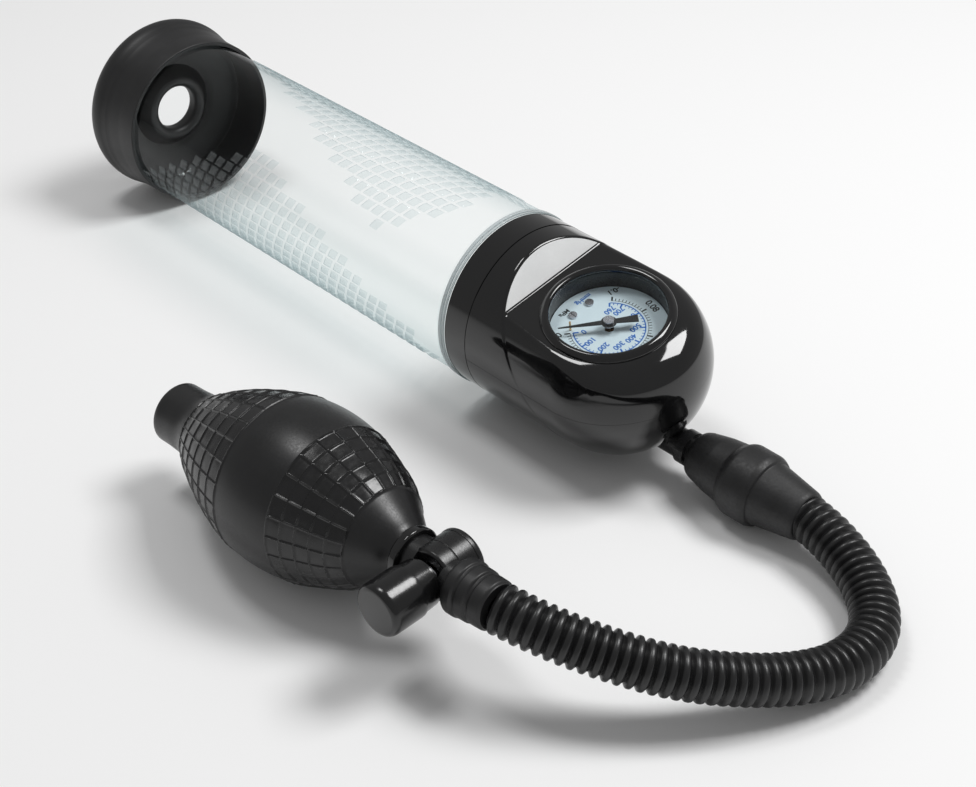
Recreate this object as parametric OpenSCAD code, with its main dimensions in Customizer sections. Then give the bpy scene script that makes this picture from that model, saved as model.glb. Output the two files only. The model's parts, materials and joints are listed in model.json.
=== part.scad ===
// Hand vacuum pump: a clear cylinder with a rubber end sleeve and a head that holds a
// vacuum gauge, joined by a short corrugated hose to a squeeze bulb and its release valve.
// Millimetres, +Z up, lying on Z = 0 with the origin under the middle of the object.

/* [Clear tube] */
// Outer radius of the clear tube
tube_r = 31.6; // [31:0.1:32]
// Length from the open end to the seam at the head
tube_len = 200; // [150:1:240]
// Wall thickness of the clear tube
tube_wall = 2.6; // [2:0.1:2.8]

/* [End sleeve] */
// Largest radius of the sleeve, where it rests on the ground
rim_r = 35.4; // [35:0.1:36]
// Length of tube that the sleeve covers
sleeve_cover = 18.3; // [12:0.1:24]
// Radius of the hole in the sleeve
sleeve_hole_r = 9; // [7:0.5:12]

/* [Head] */
// Outer radius of the head
head_r = 31.5; // [31.3:0.1:31.6]
// Distance from the seam to where the dome starts
dome_x = 53.5; // [53:0.5:56]
// Wall thickness of the two shells
shell_wall = 2.2; // [2:0.1:2.2]
// Lean of the head about the tube's axis, in degrees
head_lean = 12; // [8:1:14]
// Slope of the gauge face towards the dome, in degrees
face_slope = 4.8; // [4:0.2:6]
// Lean of the step behind the gauge face, in degrees
step_lean = 31.5; // [28:0.5:35]

/* [Gauge] */
// Outer radius of the bezel
bezel_r = 22.4; // [22.3:0.1:22.5]
// Radius of the window in the bezel
window_r = 19.1; // [18:0.1:19.3]
// Depth of the dial below the gauge face
dial_depth = 7; // [6.5:0.1:7.1]
// Direction that the needle rests in, in degrees from the dome's side
needle_rest = -129; // [-130:1:-124]
// Turn of the needle from zero to full scale, in degrees
needle_sweep = 262; // [200:1:264]

/* [Hose] */
// Outer radius of the corrugated hose
hose_r = 7.7; // [6:0.1:7.8]
// Radius of the connector's flange, which rests on the ground
flange_r = 12.5; // [12:0.1:12.5]

/* [Bulb and valve] */
// Largest radius of the squeeze bulb
bulb_r = 27.4; // [27:0.1:27.6]
// Wall thickness of the squeeze bulb
bulb_wall = 2.2; // [1.8:0.1:2.6]
// Radius of the valve body
valve_r = 8.6; // [8:0.1:8.7]
// Radius of the release knob
knob_r = 8.4; // [7.9:0.1:8.8]

/* [Hidden] */
$fn = 72;

// Clearances: between parts that slide, between parts that are fitted, for running pins
slide_gap = 0.3;
fit_gap = 0.05;
pin_gap = 0.05;

// The tube's frame: its origin on the axis at the seam, X towards the dome
seam = [52, 52, rim_r];

// Clear tube: the lip at the seam and the spigot that the head's collar covers
lip_r = 32.1;
lip_len = 3.5;
spigot_r = 28.8;
spigot_wall = 2.6;
spigot_end = 12.5;
seal_x = 8.2;
seal_r = 0.95;
seal_ring_r = 27.95;
groove_half = 1.2;
groove_r = 26.95;

// End sleeve: a skirt round the tube, a rolled rim and a web with a thick-edged hole
skirt_r = 33.3;
rim_round = 8;
rim_x = -tube_len - 5;
collar_round = 2.8;
collar_span = [-tube_len - 2, -tube_len];

// Head: collar, bulkhead and the two shells, which part on a level just above the axis
collar_start = 3.6;
collar_end = 13.5;
collar_tail_end = 20;
collar_r = 31.7;
collar_bore_r = 29.05;
collar_tail_r = 29.2;
collar_tail_bore_r = 27;
bulkhead_span = [14, 17];
parting_z = 1;
shell_bore_r = head_r - shell_wall;
step_foot = [27.4, 0, 21.5];
plate_thick = 1;
plate_lip = 0.6;
plate_foot_lip = 0.8;

// Gauge: its own frame has W square to the gauge face and U down its slope
gauge_u = 24.8;
face_recess = 1.2;
bezel_top = 1.5;
flange_top = -0.8;
lens_top = 0.2;
lens_r = 20.3;
case_r = 21.2;
case_bore_r = 19.8;
case_floor = -15.3;
case_bottom = -16.5;
dial_r = 19.6;
dial_thick = 0.8;
dial_hole_r = 1.6;
screw_r = 0.65;
stop_pin_r = 0.35;
dial_screw_spots = [[-13, 4.2], [-13, -3.6]];
stop_spot = [-9.1, -8.7];
socket_r = 4.5;
socket_end = -28;

// Gauge movement: two plates on pillars, a pinion under the needle and a toothed sector
top_plate = [-9.6, -9];
bottom_plate = [-13.4, -12.8];
gear_module = 0.25;
pinion_teeth = 14;
sector_teeth = 84;
pinion_pitch_r = gear_module * pinion_teeth / 2;
sector_pitch_r = gear_module * sector_teeth / 2;
sector_spot = [-(pinion_pitch_r + sector_pitch_r), 0];
tooth_share = 0.34;
arbor_r = 0.5;
sector_arbor_r = 0.6;
arbor_foot = -13.6;
arbor_top = 3.7 - dial_depth;
needle_w = 2.9 - dial_depth;
needle_thick = 0.3;
hub_r = 1.3;
pillar_r = 1.1;
front_pillar_u = 4.5;
bourdon_ring_r = 16.6;
bourdon_r = 1.3;
bourdon_w = -13.95;
bourdon_from = 8;
bourdon_turn = 282;

// Air ways under the gauge and out through the dome
arm_z = -22;
arm_r = 4;
nipple_z = -23.4;
nipple_r = 5.1;
nipple_tail_r = 3;
nipple_start = 50;
nipple_step_r = 4.3;
nipple_stop_r = 6;
riser_x = 50;
riser_r = 7;
boss_r = 4.6;
airway_r = 1.6;
manifold_front = 58;
nipple_end = 97;

// Rubber connector on the nipple
connector_x = 86.9;
connector_end = 131.8;
connector_bore_r = 3;
connector_back = [[connector_x, 7.8], [88.4, 8.6], [96, 10.1], [102.8, 10.9], [103.6, 11.6]];
connector_front = [[115.6, 11.6], [116.4, 10.9], [connector_end - 1, 8.4], [connector_end, 7.8]];
flange_span = [105.2, 113.8];

// The route of the hose's centre, from the connector round to the cuff
hose_sides = 10;
hose_route = [[183.8, 56.9, 12.5], [193, 55.5, 11.8], [203.2, 52.8, 10.4], [212.6, 48.5, 9.1],
              [220.7, 42.4, 8.2], [226.6, 34.2, 7.8], [229.2, 24.2, 7.8], [228.6, 13.8, 8.4],
              [225.8, 4, 9.8], [221.6, -5, 11.6], [216.8, -13.2, 13.7], [211.5, -20.9, 15.9],
              [205.8, -27.8, 18.2], [199.6, -33.9, 20.5], [193, -39.3, 22.8], [186.2, -44.2, 25],
              [179, -49, 27.5], [171.4, -52.9, 29.6], [163, -55.7, 31]];

// Bulb's frame: its origin in the middle of the bulb, X along its axis to the valve
bulb_at = [82.7, -59.9, 27.5];
bulb_rise = 2.5;
bulb_turn = 3;
bulb_end = 46.8;
bulb_tail = -63.4;
bulb_outline = [[bulb_tail, 10.4], [-56, 10.6], [-49, 11.6], [-40, 16.4], [-30, 21], [-20, 24.5],
                [-10, 26.9], [0, bulb_r], [10, 26.1], [20, 22.7], [30, 18.6], [38, 13.1],
                [42, 10.3], [44.6, 8.3], [bulb_end, 8.1]];
neck_bore_r = 6.1;
neck_bore_start = 38.5;
tail_bore_r = 6.6;
tail_bore_end = -49;
hollow_span = [-48, 37];

// The collar between the bulb and the valve
collar_from = 45;
collar_to = 48.2;
collar_edge_r = 9.1;
collar_grip_r = 8.4;
valve_neck_r = 7.4;
valve_neck_start = 47.2;
outline_steps = 4;

// Valve, across the bulb's axis
valve_s = 57;
valve_face = -3.1;
valve_back = 8.5;
cap_end = 11;
cap_r = valve_r + 0.2;
counterbore_r = 4.9;
counterbore_end = -1;
chamber_start = 0.4;
chamber_r = 5.2;
stem_hole_r = 2;
stem_r = 1.4;
stem_tip_r = 1.2;
stem_head_r = 2.4;
poppet_r = 3.6;
poppet_thick = 1.2;
spring_r = 4.5;
spring_bore_r = 3.6;
knob_face = -24.4;
knob_round = 1.2;
knob_step = -12;
knob_waist_r = 7.6;
knob_waist_end = -6.6;
knob_skirt_r = 6.9;
knob_skirt_bore_r = 4.9;
knob_skirt_end = -5.4;
knob_back = -9;
stem_start = -13;
spring_end = -3.2;
cuff_start = 66;
cuff_end = 80.5;
cuff_lip_r = 8.8;
cuff_mid_r = 8.2;
cuff_end_r = 7.8;
valve_nipple_r = 4;
disc_r = 3.5;
disc_thick = 0.8;
seat_bore_r = 2.4;
seat_chamber_r = 4.2;
inlet_seat = 47;
exhaust_seat = -57;
insert_r = 6.5;
retainer_bore_r = 1.8;

// ---- Frames and small helpers ----

module in_tube() translate(seam) children();

module in_head() in_tube() rotate([head_lean, 0, 0]) children();

module in_gauge()
    in_head() translate(step_foot) rotate([0, face_slope, 0]) translate([gauge_u, 0, 0])
        children();

module in_bulb() translate(bulb_at) rotate([0, -bulb_rise, bulb_turn]) children();

module in_valve() in_bulb() translate([valve_s, 0, 0]) children();

// A solid turned about the X axis from an outline of [x, radius] points
module turned(outline)
    rotate([0, 90, 0]) rotate_extrude() polygon([for (p = outline) [p[1], p[0]]]);

// A bar along X between two places
module bar_x(span, r)
    translate([span[0], 0, 0]) rotate([0, 90, 0]) cylinder(h = span[1] - span[0], r = r);

// A bar along Y between two places
module bar_y(span, r)
    translate([0, span[0], 0]) rotate([-90, 0, 0]) cylinder(h = span[1] - span[0], r = r);

// A bar along Z between two heights
module bar_z(span, r) translate([0, 0, span[0]]) cylinder(h = span[1] - span[0], r = r);

module pipe_x(span, r, bore) {
    difference() {
        bar_x(span, r);
        bar_x([span[0] - 1, span[1] + 1], bore);
    }
}

// A round ring about the X axis
module ring_x(x, ring_r, r) turned([for (p = arc([x, ring_r], r, 0, 345, 24)) p]);

// Points of a circular arc about a centre
function arc(centre, r, from, to, count) =
    [for (i = [0:count - 1])
        let (a = from + (to - from) * i / (count - 1))
        centre + r * [cos(a), sin(a)]];

// A smooth curve through an outline's own points
function between(a, b, c, d, t) =
    ((2 * b) + (c - a) * t + (2 * a - 5 * b + 4 * c - d) * t * t
     + (3 * b - a - 3 * c + d) * t * t * t) / 2;

function smooth(points, steps) =
    let (last = len(points) - 1)
    concat([for (i = [0:last - 1], k = [0:steps - 1])
        between(points[max(i - 1, 0)], points[i], points[i + 1], points[min(i + 2, last)],
                k / steps)], [points[last]]);

// ---- Clear tube and end sleeve ----

module clear_tube()
    color([0.85, 0.9, 0.92, 0.4]) in_tube() turned([
        [-tube_len, tube_r - tube_wall], [-tube_len, tube_r], [0, tube_r], [0, lip_r],
        [lip_len, lip_r], [lip_len, spigot_r], [seal_x - groove_half, spigot_r],
        [seal_x - groove_half, groove_r], [seal_x + groove_half, groove_r],
        [seal_x + groove_half, spigot_r], [spigot_end, spigot_r],
        [spigot_end, spigot_r - spigot_wall], [-2, spigot_r - spigot_wall],
        [-4, tube_r - tube_wall]]);

module tube_seal() color([0.1, 0.1, 0.1]) in_tube() ring_x(seal_x, seal_ring_r, seal_r);

module end_sleeve() {
    bore = tube_r + slide_gap;
    collar_ring_r = sleeve_hole_r + collar_round;
    front = concat(arc([rim_x, rim_r - rim_round], rim_round, 90, 225, 12),
                   [[-tube_len - 6.5, 16]],
                   arc([collar_span[0], collar_ring_r], collar_round, 150, 270, 8),
                   arc([collar_span[1], collar_ring_r], collar_round, 270, 400, 8));
    back = [[-tube_len - 2.6, 17.5], [-tube_len - 2.9, 22], [-tube_len - slide_gap, 27.5],
            [-tube_len - slide_gap, bore], [sleeve_cover - tube_len, bore]];
    color([0.1, 0.1, 0.1]) in_tube()
        turned(concat([[sleeve_cover - tube_len, skirt_r], [-tube_len + 9, skirt_r + 0.1],
                       [-tube_len + 2, skirt_r + 0.7]], front, back));
}

// ---- Head ----

module head_collar()
    color([0.08, 0.08, 0.08]) in_tube() turned([
        [collar_start, collar_bore_r], [collar_start, collar_r], [collar_end, collar_r],
        [collar_end, collar_tail_r], [collar_tail_end, collar_tail_r],
        [collar_tail_end, collar_tail_bore_r], [collar_end, collar_tail_bore_r],
        [collar_end, collar_bore_r]]);

module bulkhead() {
    color([0.15, 0.15, 0.15]) in_head() difference() {
        bar_x(bulkhead_span, collar_tail_bore_r - fit_gap);
        translate([0, 0, arm_z]) bar_x([0, collar_tail_end], arm_r + fit_gap);
    }
}

// The head's closed form: a cylinder that ends in a dome
module head_form(r) {
    bar_x([collar_end + 0.1, dome_x], r);
    intersection() {
        translate([dome_x, 0, 0]) sphere(r);
        translate([dome_x, -r, -r]) cube([2 * r, 2 * r, 2 * r]);
    }
}

// Space above the gauge face and ahead of the step, both moved in by a depth
module face_space(depth) {
    reach = 4 * head_r;
    translate(step_foot) intersection() {
        rotate([0, face_slope, 0]) translate([-reach, -reach, -depth])
            cube([2 * reach, 2 * reach, reach]);
        rotate([0, -step_lean, 0]) translate([-depth, -reach, -reach])
            cube([reach, 2 * reach, 2 * reach]);
    }
}

module head_shell() {
    difference() {
        head_form(head_r);
        face_space(0);
        difference() {
            union() {
                head_form(shell_bore_r);
                bar_x([collar_end, collar_end + 1], shell_bore_r);
            }
            face_space(shell_wall);
        }
    }
}

// Everything above or below the level on which the shells part
module half_space(side) {
    reach = 4 * head_r;
    translate([0, -reach / 2, side > 0 ? parting_z : parting_z - reach]) cube([reach, reach, reach]);
}

module lower_shell() {
    color([0.06, 0.06, 0.06]) in_head() difference() {
        intersection() {
            head_shell();
            half_space(-1);
        }
        translate([0, 0, nipple_z]) bar_x([manifold_front - 1, nipple_end], nipple_r + fit_gap);
    }
}

module upper_shell() {
    color([0.06, 0.06, 0.06]) difference() {
        in_head() intersection() {
            head_shell();
            half_space(1);
        }
        in_head() plate_form();
        in_gauge() bar_z([-face_recess, 5], bezel_r + fit_gap);
        in_gauge() bar_z([-10, 5], case_r + fit_gap);
    }
}

// A thin plate set in the step, with the head's own round outline
module plate_form() {
    intersection() {
        translate(step_foot) rotate([0, -step_lean, 0])
            translate([-plate_thick, -head_r, plate_foot_lip])
            cube([plate_thick, 2 * head_r, head_r]);
        bar_x([0, dome_x], head_r - plate_lip);
    }
}

module accent_plate() color([0.9, 0.9, 0.92]) in_head() plate_form();

// ---- Gauge ----

module gauge_bezel() {
    edge = (bezel_r - window_r) / 2;
    mid = (bezel_r + window_r) / 2;
    color([0.05, 0.05, 0.05]) in_gauge() rotate_extrude() polygon(concat(
        [[lens_r + fit_gap, flange_top], [bezel_r, flange_top]],
        arc([mid, bezel_top - edge * 0.6], edge, 0, 180, 17),
        [[window_r, lens_top], [lens_r + fit_gap, lens_top]]));
}

module gauge_lens() color([0.9, 0.95, 1, 0.3]) in_gauge() bar_z([flange_top, lens_top], lens_r);

module gauge_case() {
    color([0.07, 0.07, 0.07]) in_gauge() difference() {
        union() {
            bar_z([-face_recess, flange_top], bezel_r - fit_gap);
            bar_z([case_bottom, flange_top], case_r);
        }
        bar_z([case_floor, 1], case_bore_r);
        bar_z([case_bottom - 1, 0], socket_r + fit_gap);
    }
}

module dial_plate() {
    color([0.92, 0.95, 0.97]) in_gauge() difference() {
        bar_z([-dial_depth - dial_thick, -dial_depth], dial_r);
        bar_z([-dial_depth - 2, 0], dial_hole_r);
        for (spot = dial_screw_spots) translate(spot) bar_z([-dial_depth - 2, 0], screw_r + 0.1);
        translate(stop_spot) bar_z([-dial_depth - 2, 0], stop_pin_r + pin_gap);
    }
}

module dial_screws() {
    screw_head_r = 1.5;
    screw_head_h = 0.7;
    slot_w = 0.4;
    slot_depth = 0.3;
    color([0.75, 0.75, 0.75]) in_gauge() for (spot = dial_screw_spots) translate(spot)
        difference() {
            union() {
                bar_z([-dial_depth, -dial_depth + screw_head_h], screw_head_r);
                bar_z([top_plate[0], -dial_depth], screw_r);
            }
            translate([-2, -slot_w / 2, -dial_depth + screw_head_h - slot_depth])
                cube([4, slot_w, 1]);
        }
}

module stop_pin()
    color([0.8, 0.7, 0.4]) in_gauge() translate(stop_spot)
        bar_z([-dial_depth - dial_thick, -dial_depth + 3.6], stop_pin_r);

// The flat outline that both movement plates share
module plate_outline() {
    polygon([[-13, 5.2], [front_pillar_u, 2], [front_pillar_u, -2], [-13, -4.6]]);
    for (spot = dial_screw_spots) translate(spot) circle(1.2);
    translate([front_pillar_u, 0]) circle(2);
    translate(sector_spot) circle(1.6);
}

module movement_plates() {
    socket_top = case_floor + 1.2;
    color([0.8, 0.68, 0.35]) in_gauge() difference() {
        union() {
            for (plate = [top_plate, bottom_plate]) translate([0, 0, plate[0]])
                linear_extrude(plate[1] - plate[0]) plate_outline();
            for (spot = dial_screw_spots) translate(spot)
                bar_z([case_floor, -dial_depth - dial_thick], pillar_r);
            translate([front_pillar_u, 0]) bar_z([socket_top, top_plate[1]], pillar_r);
        }
        bar_z([case_floor, -dial_depth], arbor_r + pin_gap);
        translate(sector_spot) bar_z([case_floor, -dial_depth], sector_arbor_r + pin_gap);
        for (spot = dial_screw_spots) translate(spot) bar_z([top_plate[0], 0], screw_r);
    }
}

module hairspring() {
    turns = 3;
    inner = 1;
    pitch = 0.6;
    strip = 0.14;
    swirl = function(t, r) (inner + pitch * t + r) * [cos(360 * t), sin(360 * t)];
    color([0.6, 0.6, 0.65]) in_gauge() translate([0, 0, -10.5]) linear_extrude(0.3)
        polygon(concat([for (i = [0:24 * turns]) swirl(i / 24, strip)],
                       [for (i = [24 * turns:-1:0]) swirl(i / 24, 0)]));
}

module bourdon_tube() {
    color([0.8, 0.65, 0.3]) in_gauge() translate([0, 0, bourdon_w]) {
        rotate([0, 0, bourdon_from]) rotate_extrude(angle = bourdon_turn)
            translate([bourdon_ring_r, 0]) circle(bourdon_r);
        rotate([0, 0, bourdon_from + bourdon_turn]) translate([bourdon_ring_r, 0, 0])
            bar_y([0, 2.4], bourdon_r - 0.05);
    }
}

module gauge_socket() {
    strip_top = case_floor + 1.2;
    block = [14.7, 18.2];
    color([0.75, 0.62, 0.3]) in_gauge() difference() {
        union() {
            bar_z([socket_end, strip_top], socket_r);
            bar_z([case_floor, strip_top], socket_r + 0.7);
            translate([0, -2.2, case_floor]) cube([block[1], 4.4, strip_top - case_floor]);
            translate([block[0], -2.2, case_floor])
                cube([block[1] - block[0], 4.4, bourdon_w + bourdon_r - case_floor]);
        }
        bar_z([socket_end - 1, strip_top - 0.6], 1);
    }
}

module socket_nut() {
    color([0.7, 0.58, 0.28]) in_gauge() difference() {
        translate([0, 0, case_bottom - 2.8]) cylinder(h = 2.8, r = 7, $fn = 6);
        bar_z([case_bottom - 4, 0], socket_r + fit_gap);
    }
}

module pointer_needle() {
    waist = 2.6;
    color([0.1, 0.1, 0.1]) in_gauge() rotate([0, 0, needle_rest])
        translate([0, 0, needle_w]) linear_extrude(needle_thick) difference() {
            union() {
                circle(waist);
                polygon([[0, 1.1], [16.6, 0.15], [16.6, -0.15], [0, -1.1]]);
                polygon([[0, 0.8], [-9.6, 1.6], [-9.6, -1.6], [0, -0.8]]);
            }
            circle(hub_r);
        }
}

module pointer_hub() {
    color([0.7, 0.7, 0.7]) in_gauge() difference() {
        union() {
            bar_z([needle_w - 0.8, needle_w], 2);
            bar_z([needle_w, needle_w + needle_thick], hub_r);
            bar_z([needle_w + needle_thick, needle_w + 1.3], 1.8);
        }
        bar_z([-dial_depth, arbor_top], arbor_r);
    }
}

// Flat outline of a run of straight-sided teeth on a round root
module teeth_outline(pitch_r, root_r, tip_r, count, first, last) {
    half = 180 * tooth_share / count;
    for (i = [first:last]) rotate([0, 0, i * 360 / count])
        polygon([[root_r - 0.1, -pitch_r * sin(half) * 1.25], [tip_r, -pitch_r * sin(half) * 0.7],
                 [tip_r, pitch_r * sin(half) * 0.7], [root_r - 0.1, pitch_r * sin(half) * 1.25]]);
}

module pinion_arbor() {
    color([0.8, 0.68, 0.35]) in_gauge() {
        bar_z([arbor_foot, arbor_top], arbor_r);
        translate([0, 0, -12.3]) linear_extrude(1.4) rotate([0, 0, 180 / pinion_teeth])
            union() {
                circle(pinion_pitch_r - 0.3);
                rotate([0, 0, 180]) teeth_outline(pinion_pitch_r, pinion_pitch_r - 0.3,
                    pinion_pitch_r + 0.2, pinion_teeth, 0, pinion_teeth - 1);
            }
    }
}

module sector_gear() {
    root_r = sector_pitch_r - 0.25;
    last_tooth = ceil(needle_sweep / 360 * pinion_teeth) + 1;
    spread = last_tooth * 360 / sector_teeth;
    step = 360 / sector_teeth;
    rack_bore_r = 8;
    spoke = rack_bore_r + 0.2;
    color([0.78, 0.66, 0.33]) in_gauge() translate(sector_spot) {
        translate([0, 0, -11.9]) linear_extrude(0.6) union() {
            circle(1.5);
            polygon([[0, -0.8], [spoke, -1.2], [spoke * cos(spread), spoke * sin(spread)],
                     [-0.6, 0.8]]);
            difference() {
                circle(root_r);
                circle(rack_bore_r);
                polygon([[0, 0], 20 * [cos(-1.5 * step), sin(-1.5 * step)], [0, -20],
                         [-20, -20], [-20, 20],
                         20 * [cos(spread + 0.5 * step), sin(spread + 0.5 * step)]]);
            }
            teeth_outline(sector_pitch_r, root_r, sector_pitch_r + 0.2, sector_teeth, -1,
                          last_tooth);
        }
        bar_z([arbor_foot, -8.8], sector_arbor_r);
    }
}

// ---- Air ways ----

module air_manifold() {
    color([0.75, 0.62, 0.3]) difference() {
        union() {
            in_gauge() bar_z([-40, -23], riser_r);
            in_head() translate([0, 0, arm_z]) bar_x([bulkhead_span[0] - 1, riser_x], arm_r);
            in_head() translate([0, 0, nipple_z]) bar_x([43, manifold_front], boss_r);
        }
        in_gauge() bar_z([socket_end, 0], socket_r + fit_gap);
        in_gauge() bar_z([-41, -20], airway_r);
        in_head() translate([0, 0, arm_z]) bar_x([0, riser_x], airway_r);
        in_head() translate([0, 0, nipple_z])
            bar_x([nipple_start - 1, manifold_front + 2], nipple_tail_r + fit_gap);
    }
}

module hose_nipple() {
    barb = [[84.5, nipple_r - 0.3], [88.5, 4.9], [88.5, 4.4], [92.5, 4.9], [92.5, 4.4],
            [nipple_end, 4]];
    color([0.1, 0.1, 0.1]) in_head() translate([0, 0, nipple_z]) turned(concat(
        [[nipple_start, airway_r], [nipple_start, nipple_tail_r], [59.6, nipple_tail_r],
         [59.6, nipple_step_r], [62, nipple_step_r], [62, nipple_r], [80.8, nipple_r],
         [80.8, nipple_stop_r], [84.5, nipple_stop_r]],
        barb, [[nipple_end, airway_r]]));
}

module nipple_seal()
    color([0.1, 0.1, 0.1]) in_head() translate([0, 0, nipple_z])
        ring_x(manifold_front + 0.8, nipple_tail_r + 0.8, 0.75);

module hose_connector() {
    color([0.13, 0.13, 0.13]) in_head() translate([0, 0, nipple_z]) turned(concat(
        [[connector_x, nipple_r]], connector_back,
        [[flange_span[0], flange_r], [flange_span[1], flange_r]], connector_front,
        [[connector_end, connector_bore_r], [nipple_end + 1, connector_bore_r],
         [nipple_end + 1, nipple_r]]));
}

// A closed tube swept along a route, its ends square to the first and last stretch
function unit(v) = v / norm(v);

function heading(route, i) =
    i == 0 ? [1, 0, 0]
    : i == len(route) - 1 ? -axis_of_bulb()
    : unit(route[i + 1] - route[i - 1]);

function axis_of_bulb() =
    [cos(bulb_rise) * cos(bulb_turn), cos(bulb_rise) * sin(bulb_turn), sin(bulb_rise)];

module air_hose() {
    last = len(hose_route) - 1;
    rings = [for (i = [0:last], k = [0:hose_sides - 1])
        let (t = heading(hose_route, i), side = unit(cross(t, [0, 0, 1])), up = cross(side, t),
             a = 360 * (k + 0.5) / hose_sides)
        hose_route[i] + hose_r * (side * cos(a) + up * sin(a))];
    walls = [for (i = [0:last - 1], k = [0:hose_sides - 1])
        let (a = i * hose_sides + k, b = i * hose_sides + (k + 1) % hose_sides)
        [a, a + hose_sides, b + hose_sides, b]];
    start_cap = [for (k = [0:hose_sides - 1]) k];
    end_cap = [for (k = [hose_sides - 1:-1:0]) last * hose_sides + k];
    color([0.12, 0.12, 0.12]) polyhedron(rings, concat([start_cap], walls, [end_cap]));
}

module hose_cuff() {
    color([0.12, 0.12, 0.12]) in_bulb() turned([
        [cuff_start, valve_nipple_r + fit_gap], [cuff_start, cuff_lip_r], [70, cuff_lip_r],
        [70.4, cuff_mid_r], [74.6, cuff_mid_r], [75, cuff_end_r], [cuff_end, cuff_end_r],
        [cuff_end, valve_nipple_r + fit_gap]]);
}

// ---- Valve ----

module valve_body() {
    passage_y = 2.4;
    passage_r = 1.4;
    plug_start = 40.5;
    outlet_r = 6.6;
    outlet_bore_r = 2.6;
    color([0.07, 0.07, 0.07]) in_bulb() difference() {
        union() {
            translate([valve_s, 0, 0]) bar_y([valve_face, valve_back], valve_r);
            bar_x([plug_start, valve_s], neck_bore_r - fit_gap);
            bar_x([valve_neck_start, valve_s], valve_neck_r);
            bar_x([valve_s, cuff_start - 0.2], outlet_r);
            bar_x([valve_s, cuff_end - 2], valve_nipple_r);
        }
        translate([valve_s, 0, 0]) {
            bar_y([knob_face, valve_face], cuff_start - valve_s);
            bar_y([valve_face - 1, counterbore_end], counterbore_r);
            bar_y([valve_face - 1, valve_back], stem_hole_r);
            bar_y([chamber_start, valve_back + 1], chamber_r);
        }
        bar_x([plug_start - 1, inlet_seat], seat_chamber_r);
        bar_x([inlet_seat - 1, inlet_seat + 1.5], seat_bore_r);
        translate([0, passage_y, 0]) bar_x([inlet_seat + 0.5, cuff_start + 2], passage_r);
        bar_x([cuff_start + 1, cuff_end], outlet_bore_r);
    }
}

module valve_end_cap() {
    color([0.07, 0.07, 0.07]) in_valve() {
        bar_y([valve_back, cap_end], cap_r);
        bar_y([valve_back - 1.5, valve_back], chamber_r - fit_gap);
    }
}

module release_knob() {
    color([0.04, 0.04, 0.04]) in_valve() rotate([0, 0, 90]) turned(concat(
        [[stem_start, 0], [stem_start, stem_r], [knob_back, stem_r], [knob_back, knob_skirt_bore_r],
         [knob_skirt_end, knob_skirt_bore_r], [knob_skirt_end, knob_skirt_r],
         [knob_waist_end, knob_skirt_r], [knob_waist_end, knob_waist_r], [knob_step, knob_waist_r],
         [knob_step, knob_r]],
        arc([knob_face + knob_round, knob_r - knob_round], knob_round, 90, 180, 8),
        [[knob_face, 0]]));
}

module release_stem() {
    color([0.7, 0.7, 0.7]) in_valve() {
        bar_y([stem_start, chamber_start], stem_r);
        bar_y([chamber_start, chamber_start + poppet_thick], stem_tip_r);
        bar_y([chamber_start + poppet_thick, chamber_start + 2], stem_head_r);
    }
}

module poppet_seal() {
    color([0.1, 0.1, 0.1]) in_valve() difference() {
        bar_y([chamber_start, chamber_start + poppet_thick], poppet_r);
        bar_y([chamber_start - 1, chamber_start + 2], stem_tip_r);
    }
}

module knob_spring() {
    color([0.5, 0.5, 0.5]) in_valve() difference() {
        bar_y([knob_back, spring_end], spring_r);
        bar_y([knob_back - 1, spring_end + 1], spring_bore_r);
    }
}

module inlet_disc()
    color([0.6, 0.15, 0.1]) in_bulb() bar_x([inlet_seat - disc_thick, inlet_seat], disc_r);

module inlet_retainer()
    color([0.2, 0.2, 0.2]) in_bulb() pipe_x([41, 43.5], seat_chamber_r - fit_gap, retainer_bore_r);

module bulb_collar() {
    step_x = bulb_end + 0.1;
    color([0.05, 0.05, 0.05]) in_bulb() turned([
        [collar_from, collar_grip_r], [collar_from, collar_edge_r - 0.3],
        [collar_from + 0.5, collar_edge_r], [collar_to - 0.5, collar_edge_r],
        [collar_to, collar_edge_r - 0.5], [collar_to, valve_neck_r + fit_gap],
        [step_x, valve_neck_r + fit_gap], [step_x, collar_grip_r]]);
}

// ---- Squeeze bulb ----

module squeeze_bulb() {
    outer = smooth(bulb_outline, outline_steps);
    inner = [for (p = outer) if (p[0] > hollow_span[0] && p[0] < hollow_span[1]) p - [0, bulb_wall]];
    color([0.13, 0.13, 0.13]) in_bulb() turned(concat(
        outer, [[bulb_end, neck_bore_r], [neck_bore_start, neck_bore_r]],
        [for (i = [len(inner) - 1:-1:0]) inner[i]],
        [[tail_bore_end, tail_bore_r], [bulb_tail, tail_bore_r]]));
}

module exhaust_insert() {
    color([0.6, 0.6, 0.62]) in_bulb() turned([
        [bulb_tail, seat_chamber_r], [bulb_tail, insert_r], [tail_bore_end - 0.2, insert_r],
        [tail_bore_end - 0.2, seat_bore_r],
        [exhaust_seat, seat_bore_r], [exhaust_seat, seat_chamber_r]]);
}

module exhaust_disc()
    color([0.6, 0.15, 0.1]) in_bulb() bar_x([exhaust_seat - disc_thick, exhaust_seat], disc_r);

module exhaust_retainer()
    color([0.5, 0.5, 0.52]) in_bulb()
        pipe_x([bulb_tail + 0.2, -60.4], seat_chamber_r - fit_gap, retainer_bore_r);

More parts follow.
